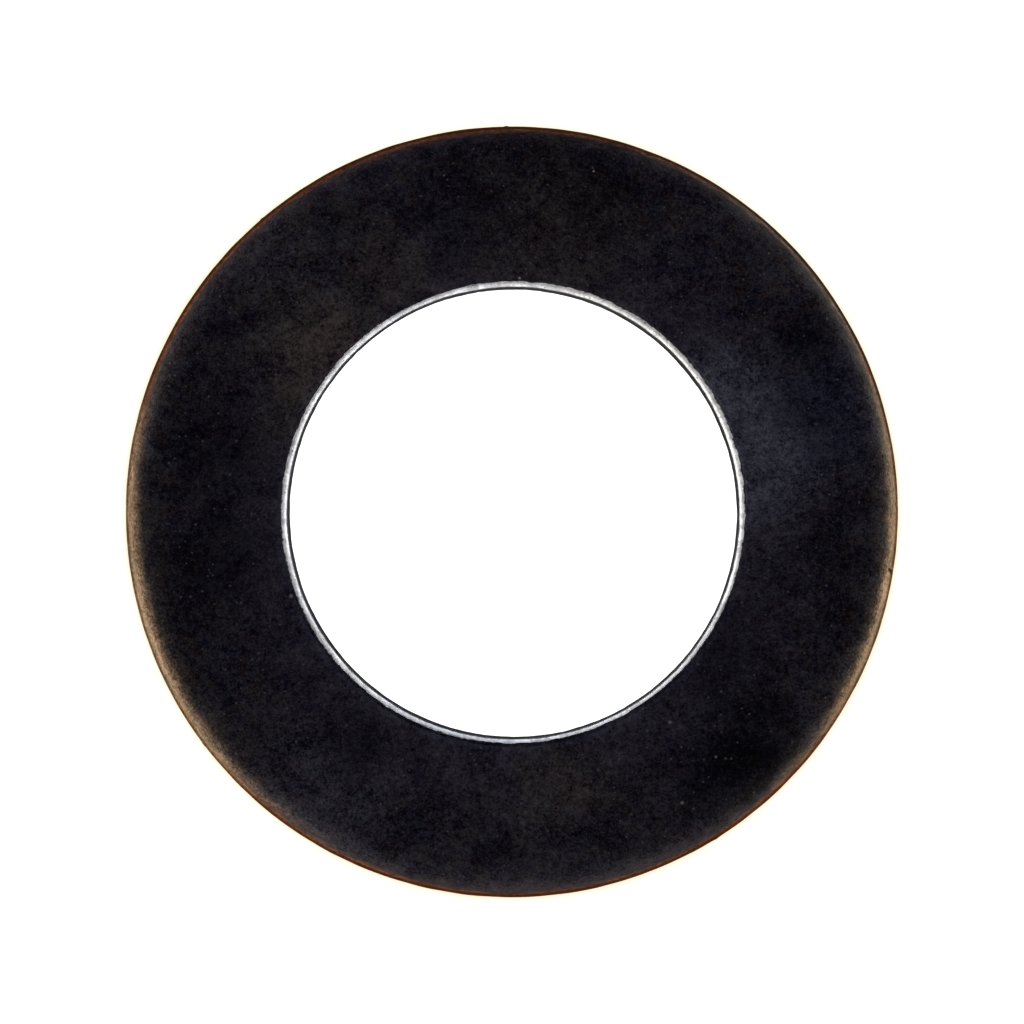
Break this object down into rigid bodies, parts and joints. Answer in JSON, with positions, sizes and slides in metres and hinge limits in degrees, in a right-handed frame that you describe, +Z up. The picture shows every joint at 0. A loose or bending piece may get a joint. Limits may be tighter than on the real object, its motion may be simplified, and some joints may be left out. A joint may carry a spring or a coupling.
{
  "type": "bonded sealing washer",
  "caption": "Flat round sealing washer: a steel ring with black rubber moulded over its faces and round its rim, leaving the bore bare.",
  "frame": {"origin": "on the bore's axis, in the plane of the lower rubber face that the washer rests on", "axes": "+Z up along the bore's axis; X and Y lie in the lower rubber face, and the washer is the same all round"},
  "size_m": [0.0222, 0.0222, 0.003],
  "materials": {
    "steel": "satin, tumbled, with fine pits",
    "rubber": "matte black, faintly mottled, with a brownish bloom on the rim"
  },
  "bodies": {
    "root": {"steel_washer": "steel", "rubber_seal": "rubber"}
  },
  "joints": []
}
